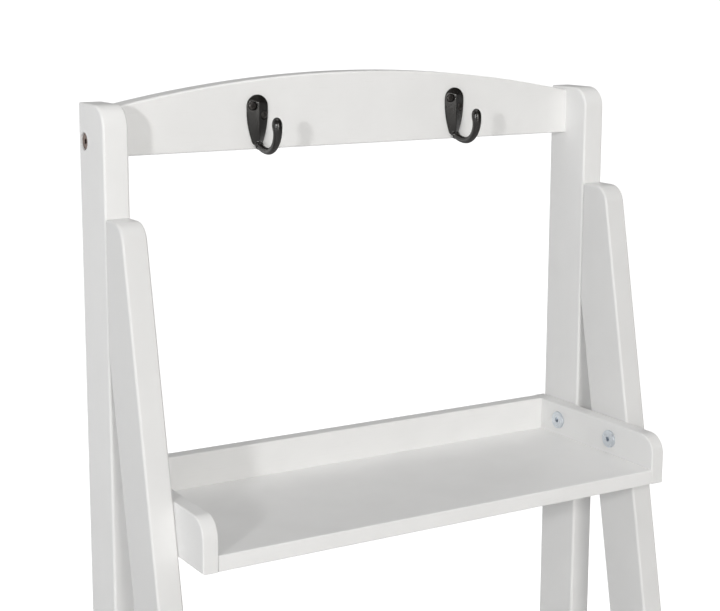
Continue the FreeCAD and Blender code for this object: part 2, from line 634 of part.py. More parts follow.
os.makedirs("parts", exist_ok=True)
post, leg = right_post(), right_leg()
write("right_post", post)
write("left_post", mirrored(post))
write("right_leg", leg)
write("left_leg", mirrored(leg))
write("hook_rail", hook_rail())
write("rail_bolts", rail_bolts())
write("rail_barrel_nuts", rail_barrel_nuts())
write("rail_dowels", rail_dowels())
write("leg_dowels", leg_dowels())
for name, side in (("left", -1), ("right", 1)):
    write(name + "_hook", placed_hook(side))
    write(name + "_hook_screws", hook_screws(side))
for name, bottom in TRAY_BOTTOMS.items():
    cheek = right_cheek(bottom)
    write(name + "_tray_shelf", tray_shelf(bottom))
    write(name + "_tray_back", tray_back(bottom))
    write(name + "_tray_right_cheek", cheek)
    write(name + "_tray_left_cheek", mirrored(cheek))
    write(name + "_tray_bolts", tray_bolts(bottom))
    write(name + "_tray_inserts", tray_inserts(bottom))
    write(name + "_tray_dowels", tray_dowels(bottom))
write("foot_glides", foot_glides())
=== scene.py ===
import math

import bmesh
import bpy
from mathutils import Matrix, Vector


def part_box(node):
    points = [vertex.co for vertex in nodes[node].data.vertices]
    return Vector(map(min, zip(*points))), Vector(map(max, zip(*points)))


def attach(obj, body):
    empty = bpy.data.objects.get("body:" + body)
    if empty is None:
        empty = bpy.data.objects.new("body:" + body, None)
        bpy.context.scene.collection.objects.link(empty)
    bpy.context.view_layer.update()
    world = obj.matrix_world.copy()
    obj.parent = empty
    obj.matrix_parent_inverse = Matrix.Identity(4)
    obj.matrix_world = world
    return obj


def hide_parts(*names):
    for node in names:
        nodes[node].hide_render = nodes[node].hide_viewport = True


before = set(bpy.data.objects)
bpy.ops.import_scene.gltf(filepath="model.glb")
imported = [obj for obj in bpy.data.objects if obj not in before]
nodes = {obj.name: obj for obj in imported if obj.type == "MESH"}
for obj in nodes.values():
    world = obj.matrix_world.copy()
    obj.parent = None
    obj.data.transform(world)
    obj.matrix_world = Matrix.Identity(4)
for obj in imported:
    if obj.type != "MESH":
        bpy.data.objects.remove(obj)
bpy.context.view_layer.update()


# ---- the two upright posts ----
# Planed hardwood strips, 46 by 19.5 mm, that stand straight behind everything else and carry the rail, the
# legs and the trays. They are sanded, primed and sprayed with a white satin paint, which rounds the eased
# edges off and lets a little of the grain show through.
def build_group(name, inputs, outputs):
    """An empty shader group with its sockets; returns the group, its inputs node and its outputs node."""
    group = bpy.data.node_groups.new(name, "ShaderNodeTree")
    for label, kind, value in inputs:
        socket = group.interface.new_socket(name=label, in_out="INPUT", socket_type=kind)
        if value is not None:
            socket.default_value = value
    for label, kind in outputs:
        group.interface.new_socket(name=label, in_out="OUTPUT", socket_type=kind)
    return group, group.nodes.new("NodeGroupInput"), group.nodes.new("NodeGroupOutput")


def add(tree, kind, values=None, **settings):
    """A node with its settings; each value is a number, or an output socket that is linked in."""
    node = tree.nodes.new(kind)
    for key, setting in settings.items():
        setattr(node, key, setting)
    for key, value in (values or {}).items():
        if isinstance(value, bpy.types.NodeSocket):
            tree.links.new(value, node.inputs[key])
        else:
            node.inputs[key].default_value = value
    return node


def maths(tree, operation, first, second=0.0, third=0.0):
    return add(tree, "ShaderNodeMath", {0: first, 1: second, 2: third}, operation=operation).outputs[0]


def build_grain():
    """Wood grain read along Z: long streaks with fine pores between them."""
    group, given, out = build_group(
        "wood_grain",
        [("Vector", "NodeSocketVector", None), ("Streaks per Metre", "NodeSocketFloat", 260.0),
         ("Stretch", "NodeSocketFloat", 0.035)],
        [("Height", "NodeSocketFloat"), ("Pores", "NodeSocketFloat")])
    stretch = add(group, "ShaderNodeCombineXYZ", {0: 1.0, 1: 1.0, 2: given.outputs["Stretch"]})
    long_way = add(group, "ShaderNodeVectorMath", {0: given.outputs["Vector"], 1: stretch.outputs[0]},
                   operation="MULTIPLY")
    streak = add(group, "ShaderNodeTexNoise", {
        "Vector": long_way.outputs[0], "Scale": given.outputs["Streaks per Metre"], "Detail": 4.0,
        "Roughness": 0.6, "Distortion": 0.35})
    fine = maths(group, "MULTIPLY", given.outputs["Streaks per Metre"], 5.5)
    pore = add(group, "ShaderNodeTexNoise", {
        "Vector": long_way.outputs[0], "Scale": fine, "Detail": 2.0, "Roughness": 0.5})
    pits = add(group, "ShaderNodeMapRange", {
        "Value": pore.outputs["Fac"], "From Min": 0.6, "From Max": 0.72})
    lowered = maths(group, "MULTIPLY_ADD", pits.outputs["Result"], -0.35, streak.outputs["Fac"])
    group.links.new(lowered, out.inputs["Height"])
    group.links.new(pits.outputs["Result"], out.inputs["Pores"])
    return group


def build_spray():
    """A sprayed film: a soft orange peel, with fine dust nibs and cloudy changes of gloss."""
    group, given, out = build_group(
        "sprayed_film",
        [("Vector", "NodeSocketVector", None), ("Peel per Metre", "NodeSocketFloat", 420.0)],
        [("Height", "NodeSocketFloat"), ("Cloud", "NodeSocketFloat")])
    peel = add(group, "ShaderNodeTexNoise", {
        "Vector": given.outputs["Vector"], "Scale": given.outputs["Peel per Metre"], "Detail": 2.0,
        "Roughness": 0.45})
    nibs = add(group, "ShaderNodeTexVoronoi", {
        "Vector": given.outputs["Vector"], "Scale": given.outputs["Peel per Metre"]}, feature="F1")
    nib = add(group, "ShaderNodeMapRange", {
        "Value": nibs.outputs["Distance"], "From Min": 0.16, "From Max": 0.04})
    height = maths(group, "MULTIPLY_ADD", nib.outputs["Result"], 0.35, peel.outputs["Fac"])
    wide = maths(group, "DIVIDE", given.outputs["Peel per Metre"], 18.0)
    cloud = add(group, "ShaderNodeTexNoise", {
        "Vector": given.outputs["Vector"], "Scale": wide, "Detail": 3.0, "Roughness": 0.55})
    group.links.new(height, out.inputs["Height"])
    group.links.new(cloud.outputs["Fac"], out.inputs["Cloud"])
    return group


wood_grain = build_grain()
sprayed_film = build_spray()


def new_material(name):
    """A material with its Principled shader and the piece's Object coordinates."""
    material = bpy.data.materials.new(name)
    material.use_nodes = True
    tree = material.node_tree
    tree.nodes.clear()
    shader = add(tree, "ShaderNodeBsdfPrincipled")
    surface = add(tree, "ShaderNodeOutputMaterial")
    tree.links.new(shader.outputs["BSDF"], surface.inputs["Surface"])
    place = add(tree, "ShaderNodeTexCoord").outputs["Object"]
    return material, tree, shader, place


PAINT_DULL, PAINT_CLEAN = (0.85, 0.85, 0.845), (0.88, 0.88, 0.875)
PAINT_IN_PORES = (0.74, 0.73, 0.71, 1)
PORES_SEEN = 0.12
PAINT_ROUGH, PAINT_ROUGH_SPREAD = 0.33, 0.16
PAINT_SPECULAR = 0.42
GRAIN_RELIEF, FILM_RELIEF = 0.00012, 0.00006       # metres


def painted_wood(name, turn, offset, shade=1.0):
    """White satin paint over wood; turn brings the grain onto Z, offset moves it, shade darkens the paint
    as painted shade.
    """
    material, tree, shader, place = new_material(name)
    turned = add(tree, "ShaderNodeMapping", {"Vector": place, "Rotation": turn, "Location": offset})
    grain = add(tree, "ShaderNodeGroup", node_tree=wood_grain)
    film = add(tree, "ShaderNodeGroup", node_tree=sprayed_film)
    tree.links.new(turned.outputs[0], grain.inputs["Vector"])
    tree.links.new(place, film.inputs["Vector"])
    tone = add(tree, "ShaderNodeValToRGB", {"Fac": film.outputs["Cloud"]})
    for element, position, colour in zip(tone.color_ramp.elements, (0.3, 0.7), (PAINT_DULL, PAINT_CLEAN)):
        element.position = position
        element.color = [shade * part for part in colour] + [1]
    dim = maths(tree, "MULTIPLY", grain.outputs["Pores"], PORES_SEEN)
    colour = add(tree, "ShaderNodeMix", {0: dim, 6: tone.outputs["Color"], 7: PAINT_IN_PORES},
                 data_type="RGBA")
    tree.links.new(colour.outputs[2], shader.inputs["Base Color"])
    gloss = maths(tree, "MULTIPLY_ADD", film.outputs["Cloud"], PAINT_ROUGH_SPREAD, PAINT_ROUGH)
    tree.links.new(gloss, shader.inputs["Roughness"])
    shader.inputs["Specular IOR Level"].default_value = PAINT_SPECULAR
    under = add(tree, "ShaderNodeBump", {
        "Height": grain.outputs["Height"], "Strength": 0.22, "Distance": GRAIN_RELIEF})
    skin = add(tree, "ShaderNodeBump", {
        "Height": film.outputs["Height"], "Strength": 0.16, "Distance": FILM_RELIEF,
        "Normal": under.outputs[0]})
    tree.links.new(skin.outputs[0], shader.inputs["Normal"])
    return material


def finish_node(name, material):
    """A CAD node keeps its shape and gets its finish."""
    nodes[name].data.materials.clear()
    nodes[name].data.materials.append(material)


post_paint = painted_wood("post_paint", turn=(0, 0, 0), offset=(0.31, 0.07, 0.4))
for side in ("left", "right"):
    finish_node(side + "_post", post_paint)


# ---- the two slanted legs ----
# The same strip, cut to lean forward at 11 degrees. Each leg's upright back is butted on its post's front
# and glued there over two dowels, and its grain follows the lean.
LEG_LEAN = math.radians(11)
# painted shade: the legs' paint is darkened to 0.91 of the posts', so they read duller than the lamps alone
# make them
LEG_PAINTED_SHADE = 0.91
leg_paint = painted_wood("leg_paint", turn=(LEG_LEAN, 0, 0), offset=(0.9, 0.55, 0.1), shade=LEG_PAINTED_SHADE)
for side in ("left", "right"):
    finish_node(side + "_leg", leg_paint)


# ---- the hook rail ----
# A board with a flat lower edge and a long arched top, set flush with the posts' backs. The grain runs
# from post to post, so the arch cuts across it and shows a few more streaks along the top edge.
GRAIN_ALONG_X = (0, -math.pi / 2, 0)
rail_paint = painted_wood("rail_paint", turn=GRAIN_ALONG_X, offset=(0.2, 1.3, 0.6))
finish_node("hook_rail", rail_paint)


# ---- the rail's two bolts ----
# Flat-headed steel bolts with a hexagon socket, finished dark bronze. Each is sunk just below the face of
# a post, runs through it into the rail's end, and pulls on a barrel nut there.
def solids_in(node):
    """The lowest and highest corner of each separate solid in a CAD node, from the left to the right."""
    mesh = bmesh.new()
    mesh.from_mesh(nodes[node].data)
    bmesh.ops.remove_doubles(mesh, verts=mesh.verts, dist=1e-6)
    left_over, found = set(mesh.verts), []
    while left_over:
        edge_of_search = [left_over.pop()]
        solid = list(edge_of_search)
        while edge_of_search:
            for edge in edge_of_search.pop().link_edges:
                for vertex in edge.verts:
                    if vertex in left_over:
                        left_over.remove(vertex)
                        edge_of_search.append(vertex)
                        solid.append(vertex)
        low = Vector(min(v.co[k] for v in solid) for k in range(3))
        high = Vector(max(v.co[k] for v in solid) for k in range(3))
        found.append((low, high))
    mesh.free()
    return sorted(found, key=lambda box: (round(box[0].x, 4), round(box[0].y, 4), round(box[0].z, 4)))


def new_tree(name, sizes):
    """A Geometry Nodes tree with a socket for the places, for the finish and for each named size."""
    tree = bpy.data.node_groups.new(name, "GeometryNodeTree")
    tree.interface.new_socket(name="Places", in_out="INPUT", socket_type="NodeSocketGeometry")
    tree.interface.new_socket(name="Finish", in_out="INPUT", socket_type="NodeSocketMaterial")
    for label in sizes:
        tree.interface.new_socket(name=label, in_out="INPUT", socket_type="NodeSocketFloat")
    tree.interface.new_socket(name="Pieces", in_out="OUTPUT", socket_type="NodeSocketGeometry")
    return tree, tree.nodes.new("NodeGroupInput").outputs


SPINDLE = 4e-6                # metres: the hair-thin ring a profile is swept round, merged to a point after


def turned(tree, corners, rounding, sides):
    """A solid turned about Z from (radius, height) corners, which start and end on the axis."""
    line = add(tree, "GeometryNodeMeshLine", {"Count": len(corners)})
    pick = add(tree, "GeometryNodeIndexSwitch", data_type="VECTOR")
    while len(pick.index_switch_items) < len(corners):
        pick.index_switch_items.new()
    tree.links.new(add(tree, "GeometryNodeInputIndex").outputs[0], pick.inputs["Index"])
    for k, (radius, height) in enumerate(corners):
        corner = add(tree, "ShaderNodeCombineXYZ", {0: radius, 1: maths(tree, "MULTIPLY", height, -1.0)})
        tree.links.new(corner.outputs[0], pick.inputs[k + 1])
    bent = add(tree, "GeometryNodeSetPosition", {"Geometry": line.outputs[0], "Position": pick.outputs[0]})
    outline = add(tree, "GeometryNodeMeshToCurve", {"Mesh": bent.outputs[0]})
    eased = add(tree, "GeometryNodeFilletCurve", {
        "Curve": outline.outputs[0], "Count": 4, "Radius": rounding, "Limit Radius": True}, mode="POLY")
    spindle = add(tree, "GeometryNodeCurvePrimitiveCircle", {"Resolution": sides, "Radius": SPINDLE})
    swept = add(tree, "GeometryNodeCurveToMesh", {
        "Curve": spindle.outputs["Curve"], "Profile Curve": eased.outputs[0]})
    closed = add(tree, "GeometryNodeMergeByDistance", {
        "Geometry": swept.outputs[0], "Distance": 3 * SPINDLE})
    return add(tree, "GeometryNodeFlipFaces", {"Mesh": closed.outputs[0]}).outputs[0]


def thread(tree, radius, pitch, start, length, depth):
    """A helical ridge about Z, from start on, for a screw's or a bolt's thread."""
    turns = maths(tree, "DIVIDE", length, pitch)
    helix = add(tree, "GeometryNodeCurveSpiral", {
        "Resolution": 20, "Rotations": turns, "Start Radius": radius, "End Radius": radius,
        "Height": length})
    rib = add(tree, "GeometryNodeCurvePrimitiveCircle", {"Resolution": 3, "Radius": depth})
    ridge = add(tree, "GeometryNodeCurveToMesh", {
        "Curve": helix.outputs[0], "Profile Curve": rib.outputs["Curve"], "Fill Caps": True})
    lift = add(tree, "ShaderNodeCombineXYZ", {2: start})
    return add(tree, "GeometryNodeTransform", {
        "Geometry": ridge.outputs[0], "Translation": lift.outputs[0]}).outputs[0]


def prism_cut(tree, across, depth, sides):
    """A prism about Z that cuts a socket down to depth; across is its radius to the corners."""
    shape = add(tree, "GeometryNodeMeshCylinder", {
        "Vertices": sides, "Radius": across, "Depth": maths(tree, "MULTIPLY", depth, 2.0)})
    return shape.outputs["Mesh"]


def cut_away(tree, solid, tools):
    """The solid with every tool taken out of it."""
    cut = add(tree, "GeometryNodeMeshBoolean", {"Mesh 1": solid}, operation="DIFFERENCE", solver="EXACT")
    for tool in tools:
        tree.links.new(tool, cut.inputs["Mesh 2"])
    return cut.outputs["Mesh"]


def set_out(tree, given, parts):
    """The parts together, one copy at each place with Z along its way, made real and finished."""
    whole = add(tree, "GeometryNodeJoinGeometry")
    for part in parts:
        tree.links.new(part, whole.inputs[0])
    way = add(tree, "GeometryNodeInputNamedAttribute", {"Name": "way"}, data_type="FLOAT_VECTOR")
    turn = add(tree, "FunctionNodeAlignRotationToVector", {"Vector": way.outputs[0]}, axis="Z")
    copies = add(tree, "GeometryNodeInstanceOnPoints", {
        "Points": given["Places"], "Instance": whole.outputs[0], "Rotation": turn.outputs[0]})
    real = add(tree, "GeometryNodeRealizeInstances", {"Geometry": copies.outputs[0]})
    finished = add(tree, "GeometryNodeSetMaterial", {
        "Geometry": real.outputs[0], "Material": given["Finish"]})
    out = tree.nodes.new("NodeGroupOutput")
    tree.links.new(finished.outputs[0], out.inputs[0])


def make_pieces(name, tree, places, finish, sizes):
    """Runs a tree over places, (point, way) pairs, and returns its result as one plain mesh piece."""
    mesh = bpy.data.meshes.new(name + "_places")
    mesh.from_pydata([point for point, way in places], [], [])
    ways = mesh.attributes.new("way", "FLOAT_VECTOR", "POINT")
    for k, (point, way) in enumerate(places):
        ways.data[k].vector = way
    host = bpy.data.objects.new(name + "_places", mesh)
    bpy.context.scene.collection.objects.link(host)
    modifier = host.modifiers.new(name, "NODES")
    modifier.node_group = tree
    for socket in tree.interface.items_tree:
        if socket.in_out == "INPUT" and socket.name != "Places":
            modifier[socket.identifier] = finish if socket.name == "Finish" else float(sizes[socket.name])
    evaluated = host.evaluated_get(bpy.context.evaluated_depsgraph_get())
    made = bpy.data.meshes.new_from_object(evaluated)
    made.name = name
    bpy.data.objects.remove(host)
    piece = bpy.data.objects.new(name, made)
    bpy.context.scene.collection.objects.link(piece)
    made.polygons.foreach_set("use_smooth", [True] * len(made.polygons))
    made.set_sharp_from_angle(angle=math.radians(32))
    return piece


def stand_in(piece, node):
    """The piece takes a CAD node's place on the rack."""
    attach(piece, "root")
    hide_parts(node)


def plated_steel(name, colour, dull, rough, rough_spread):
    """Plated steel: colour with duller clouds, and fine tool marks."""
    material, tree, shader, place = new_material(name)
    cloud = add(tree, "ShaderNodeTexNoise", {"Vector": place, "Scale": 340.0, "Detail": 4.0})
    mix = add(tree, "ShaderNodeMix", {0: cloud.outputs["Fac"], 6: colour, 7: dull}, data_type="RGBA")
    tree.links.new(mix.outputs[2], shader.inputs["Base Color"])
    marks = add(tree, "ShaderNodeTexNoise", {"Vector": place, "Scale": 2600.0, "Detail": 3.0})
    gloss = maths(tree, "MULTIPLY_ADD", cloud.outputs["Fac"], rough_spread, rough)
    tree.links.new(gloss, shader.inputs["Roughness"])
    bump = add(tree, "ShaderNodeBump", {
        "Height": marks.outputs["Fac"], "Strength": 0.25, "Distance": 0.00003})
    tree.links.new(bump.outputs[0], shader.inputs["Normal"])
    shader.inputs["Metallic"].default_value = 1.0
    return material


bolt_tree, given = new_tree("socket_bolt", [
    "Head Radius", "Head Height", "Edge Round", "Shank Radius", "Length", "Pitch", "Threaded",
    "Socket Radius", "Socket Depth"])
under_head = given["Head Height"]
bolt_tip = maths(bolt_tree, "ADD", given["Head Height"], given["Length"])
bolt_core = maths(bolt_tree, "MULTIPLY_ADD", given["Pitch"], -0.45, given["Shank Radius"])
thread_start = maths(bolt_tree, "SUBTRACT", bolt_tip, given["Threaded"])
blank = turned(bolt_tree, [
    (0.0, 0.0), (given["Head Radius"], 0.0), (given["Head Radius"], under_head),
    (given["Shank Radius"], under_head), (given["Shank Radius"], thread_start),
    (bolt_core, thread_start), (bolt_core, bolt_tip), (0.0, bolt_tip)], given["Edge Round"], 48)
socket = prism_cut(bolt_tree, given["Socket Radius"], given["Socket Depth"], 6)
ridge = thread(bolt_tree, bolt_core, given["Pitch"], thread_start,
               maths(bolt_tree, "MULTIPLY", given["Threaded"], 0.96),
               maths(bolt_tree, "MULTIPLY", given["Pitch"], 0.5))
set_out(bolt_tree, given, [cut_away(bolt_tree, blank, [socket]), ridge])

bronze = plated_steel("bronze_bolt", (0.26, 0.20, 0.17, 1), (0.15, 0.11, 0.095, 1), 0.34, 0.2)
BOLT_HEAD = 0.002             # metres, for these bolts and the trays'
BOLT_SHANK = 0.003
BOLT_PITCH = 0.001
HEXAGON_RADIUS = 0.0023       # to the corners
HEXAGON_DEPTH = 0.0025
rail_bolt_boxes = solids_in("rail_bolts")
rail_bolt_places = []
for low, high in rail_bolt_boxes:
    middle = (low + high) / 2
    outer, inwards = (low.x, 1) if middle.x < 0 else (high.x, -1)
    rail_bolt_places.append((Vector((outer, middle.y, middle.z)), Vector((inwards, 0, 0))))
low, high = rail_bolt_boxes[0]
rail_bolts = make_pieces("rail_socket_bolts", bolt_tree, rail_bolt_places, bronze, {
    "Head Radius": (high.z - low.z) / 2, "Head Height": BOLT_HEAD, "Edge Round": 0.0004,
    "Shank Radius": BOLT_SHANK, "Length": high.x - low.x - BOLT_HEAD, "Pitch": BOLT_PITCH,
    "Threaded": 0.026, "Socket Radius": HEXAGON_RADIUS, "Socket Depth": HEXAGON_DEPTH})
stand_in(rail_bolts, "rail_bolts")


# ---- the rail's two barrel nuts ----
# Short zinc-plated steel cylinders in cross holes from the rail's back, tapped for the bolts. A slot in
# the end that shows lets a screwdriver turn the thread to meet the bolt.
nut_tree, given = new_tree("barrel_nut", ["Radius", "Length", "Edge Round", "Bore Radius", "Slot Width",
                                          "Slot Depth"])
nut_body = turned(nut_tree, [(0.0, 0.0), (given["Radius"], 0.0), (given["Radius"], given["Length"]),
                             (0.0, given["Length"])], given["Edge Round"], 48)
wide = maths(nut_tree, "MULTIPLY", given["Radius"], 4.0)
slot_size = add(nut_tree, "ShaderNodeCombineXYZ", {
    0: wide, 1: given["Slot Width"], 2: maths(nut_tree, "MULTIPLY", given["Slot Depth"], 2.0)})
slot_tool = add(nut_tree, "GeometryNodeMeshCube", {"Size": slot_size.outputs[0]})
bore_round = add(nut_tree, "GeometryNodeMeshCylinder", {
    "Vertices": 32, "Radius": given["Bore Radius"], "Depth": wide})
half_way = add(nut_tree, "ShaderNodeCombineXYZ", {2: maths(nut_tree, "MULTIPLY", given["Length"], 0.5)})
bore_tool = add(nut_tree, "GeometryNodeTransform", {
    "Geometry": bore_round.outputs["Mesh"], "Translation": half_way.outputs[0],
    "Rotation": (0, math.pi / 2, 0)})
set_out(nut_tree, given, [cut_away(nut_tree, nut_body, [slot_tool.outputs["Mesh"], bore_tool.outputs[0]])])

zinc = plated_steel("zinc_plate", (0.80, 0.85, 0.90, 1), (0.62, 0.66, 0.71, 1), 0.20, 0.2)
BORE_RADIUS = 0.00305         # tapped for the bolts, here and in the trays' inserts
nut_places = []
for low, high in solids_in("rail_barrel_nuts"):
    nut_places.append((Vector(((low.x + high.x) / 2, high.y, (low.z + high.z) / 2)), Vector((0, -1, 0))))
barrel_nuts = make_pieces("rail_cross_nuts", nut_tree, nut_places, zinc, {
    "Radius": (high.x - low.x) / 2, "Length": high.y - low.y, "Edge Round": 0.0004,
    "Bore Radius": BORE_RADIUS, "Slot Width": 0.0012, "Slot Depth": 0.0015})
stand_in(barrel_nuts, "rail_barrel_nuts")


# ---- the dowels ----
# Fluted beech pins with chamfered ends, glued across every wood joint: one at each end of the rail, two
# behind each leg, and eleven inside each tray. The flutes let the glue spread along the hole.
dowel_tree, given = new_tree("fluted_dowel", ["Radius", "Length", "Chamfer", "Flutes", "Flute Depth"])
pin = turned(dowel_tree, [
    (0.0, 0.0), (maths(dowel_tree, "SUBTRACT", given["Radius"], given["Chamfer"]), 0.0),
    (given["Radius"], given["Chamfer"]),
    (given["Radius"], maths(dowel_tree, "SUBTRACT", given["Length"], given["Chamfer"])),
    (maths(dowel_tree, "SUBTRACT", given["Radius"], given["Chamfer"]), given["Length"]),
    (0.0, given["Length"])], 0.0, 72)
where = add(dowel_tree, "GeometryNodeInputPosition").outputs[0]
apart = add(dowel_tree, "ShaderNodeSeparateXYZ", {0: where}).outputs
angle = maths(dowel_tree, "ARCTAN2", apart[1], apart[0])
wave = maths(dowel_tree, "COSINE", maths(dowel_tree, "MULTIPLY", angle, given["Flutes"]))
crest = maths(dowel_tree, "MULTIPLY_ADD", wave, 0.5, 0.5)
depth = maths(dowel_tree, "MULTIPLY", crest, given["Flute Depth"])
shrink = maths(dowel_tree, "SUBTRACT", 1.0, maths(dowel_tree, "DIVIDE", depth, given["Radius"]))
fluted = add(dowel_tree, "ShaderNodeCombineXYZ", {
    0: maths(dowel_tree, "MULTIPLY", apart[0], shrink), 1: maths(dowel_tree, "MULTIPLY", apart[1], shrink),
    2: apart[2]})
carved = add(dowel_tree, "GeometryNodeSetPosition", {"Geometry": pin, "Position": fluted.outputs[0]})
set_out(dowel_tree, given, [carved.outputs[0]])

beech, tree, shader, place = new_material("beech_pin")
grain = add(tree, "ShaderNodeGroup", {"Vector": place, "Streaks per Metre": 1400.0, "Stretch": 1.0},
            node_tree=wood_grain)
beech_tone = add(tree, "ShaderNodeMix", {
    0: grain.outputs["Height"], 6: (0.46, 0.29, 0.16, 1), 7: (0.66, 0.47, 0.29, 1)}, data_type="RGBA")
tree.links.new(beech_tone.outputs[2], shader.inputs["Base Color"])
beech_bump = add(tree, "ShaderNodeBump", {
    "Height": grain.outputs["Height"], "Strength": 0.4, "Distance": 0.0001})
tree.links.new(beech_bump.outputs[0], shader.inputs["Normal"])
shader.inputs["Roughness"].default_value = 0.62

PIN_AXES = (Vector((1, 0, 0)), Vector((0, 1, 0)), Vector((0, 0, 1)))


def make_dowels(node):
    """A fluted pin in place of each pin of a CAD node, along its longest side."""
    boxes = solids_in(node)
    places = []
    for low, high in boxes:
        size = high - low
        axis = max(range(3), key=lambda k: size[k])
        start = (low + high) / 2
        start[axis] = low[axis]
        places.append((start, PIN_AXES[axis]))
    size = sorted(boxes[0][1] - boxes[0][0])
    pins = make_pieces(node + "_fluted", dowel_tree, places, beech, {
        "Radius": size[0] / 2, "Length": size[2], "Chamfer": 0.0008, "Flutes": 18.0,
        "Flute Depth": 0.00035})
    stand_in(pins, node)


make_dowels("rail_dowels")
make_dowels("leg_dowels")


# ---- the two hooks ----
# Small die-cast zinc hooks: a teardrop plate with a ridge down its middle, and one round arm that leaves
# the plate's foot, sweeps forward and curls up to a swollen tip. A satin black powder coat covers them
# all over and softens every edge.
PLATE_TOP_RADIUS = 0.009
PLATE_FOOT_RADIUS = 0.005
PLATE_SIDE_BOW = 0.070
PLATE_HEIGHT = 0.039
PLATE_RIM = 0.0016
PLATE_RIDGE = 0.0044
PLATE_BEVEL = 0.0010
SPINE_TOP = 0.0058            # the ridge's upper and lower ends, below the plate's top
SPINE_FOOT = 0.0362
ARM_AT_ROOT = 0.00275
ARM_AT_LOWEST = 0.0026
ARM_AT_CURL_END = 0.0035
SHOULDER_OUT = 0.0046         # where the arm steps out from under the plate's foot
ROOT_RADIUS = 0.030           # the flatter sweep from the plate to the arm's lowest point
CURL_RADIUS = 0.016
ARM_LOW_OUT = 0.017
ARM_DROP = 0.0415
TIP_RADIUS = 0.0039
TIP_LENGTH = 0.0106
TIP_LEAN = math.radians(8)
SCREW_ASIDE = 0.0048
SCREW_DOWN = (0.0083, 0.0153)
SCREW_HEAD = 0.003
SINK_WALL = 0.0004
SEAT_OUT = 0.0012
SINK_BACK, SINK_FRONT = 0.0006, 0.006      # only the plate's face is pressed, not its back or the arm
SEAT_CLEARANCE = 0.00012
ARM_SIDES = 36
COLLAR_LENGTH, COLLAR_RISE = 0.0012, 0.0006
SWELL_SHARE = 0.45            # how much of the tip swells before it rounds over
CAST_VOXEL = 0.00028


def plate_outline(count):
    """(aside, down) round the teardrop: an arc above, one below, and a bow touching both on each side."""
    top, foot = PLATE_TOP_RADIUS, PLATE_HEIGHT - PLATE_FOOT_RADIUS
    to_top, to_foot = PLATE_SIDE_BOW - PLATE_TOP_RADIUS, PLATE_SIDE_BOW - PLATE_FOOT_RADIUS
    below = ((foot - top) ** 2 + to_top ** 2 - to_foot ** 2) / (2 * (foot - top))
    beside = math.sqrt(to_top ** 2 - below ** 2)
    first, last = math.atan2(-below, beside), math.atan2(foot - top - below, beside)
    points = []
    for radius, aside, down, start, end in (
            (PLATE_TOP_RADIUS, 0, top, math.pi - first, 2 * math.pi + first),
            (PLATE_SIDE_BOW, -beside, top + below, first, last),
            (PLATE_FOOT_RADIUS, 0, foot, last, math.pi - last),
            (PLATE_SIDE_BOW, beside, top + below, math.pi - last, math.pi - first)):
        for k in range(count):
            turn = start + (end - start) * k / count
            points.append((aside + radius * math.cos(turn), down + radius * math.sin(turn)))
    return points


def arm_stations():
    """(out, down, heading, radius) along the arm, heading 0 where it runs straight out of the rail."""
    stations = []
    root_turn = math.asin(ARM_LOW_OUT / ROOT_RADIUS)
    for k in range(49):
        share = 1 - k / 48
        turn = root_turn * share
        out = ARM_LOW_OUT - ROOT_RADIUS * math.sin(turn)
        radius = ARM_AT_LOWEST + (ARM_AT_ROOT - ARM_AT_LOWEST) * share
        if SHOULDER_OUT - COLLAR_LENGTH < out < SHOULDER_OUT:
            radius += COLLAR_RISE
        stations.append((out, ARM_DROP - ROOT_RADIUS * (1 - math.cos(turn)), -turn, radius))
    for k in range(1, 29):
        turn = math.pi / 2 * k / 28
        radius = ARM_AT_LOWEST + (ARM_AT_CURL_END - ARM_AT_LOWEST) * (k / 28) ** 2
        stations.append((ARM_LOW_OUT + CURL_RADIUS * math.sin(turn),
                         ARM_DROP - CURL_RADIUS * (1 - math.cos(turn)), turn, radius))
    out, down = ARM_LOW_OUT + CURL_RADIUS, ARM_DROP - CURL_RADIUS
    for k in range(1, 25):
        share = k / 24
        if share < SWELL_SHARE:
            swell = math.sin(math.pi / 2 * share / SWELL_SHARE)
            radius = ARM_AT_CURL_END + (TIP_RADIUS - ARM_AT_CURL_END) * swell
        else:
            rounding = (share - SWELL_SHARE) / (1 - SWELL_SHARE)
            radius = TIP_RADIUS * math.sqrt(max(0.0, 1 - rounding ** 2))
        heading = math.pi / 2 + TIP_LEAN * min(1.0, 3 * share)
        stations.append((out - math.sin(TIP_LEAN) * TIP_LENGTH * share,
                         down - math.cos(TIP_LEAN) * TIP_LENGTH * share, heading, max(radius, 2e-5)))
    return stations


def add_plate(mesh, spot):
    """The plate, as rings from its flat back over the rim up to the ridge."""
    outline = plate_outline(30)
    rings = []
    for inset, out in ((0.0, 0.0), (0.0, PLATE_RIM - PLATE_BEVEL), (0.25, PLATE_RIM - 0.3 * PLATE_BEVEL),
                       (1.0, PLATE_RIM)):
        ring = []
        for aside, down in outline:
            spine = min(max(down, SPINE_TOP), SPINE_FOOT)
            reach = math.hypot(aside, down - spine)
            share = inset * PLATE_BEVEL / reach
            ring.append(mesh.verts.new(spot(aside * (1 - share), out, down + (spine - down) * share)))
        rings.append(ring)
    rings.append([mesh.verts.new(spot(0, PLATE_RIDGE, min(max(down, SPINE_TOP), SPINE_FOOT)))
                  for aside, down in outline])
    count = len(outline)
    for inner, outer in zip(rings[1:], rings):
        for k in range(count):
            mesh.faces.new((outer[k], outer[(k + 1) % count], inner[(k + 1) % count], inner[k]))
    mesh.faces.new(list(reversed(rings[0])))


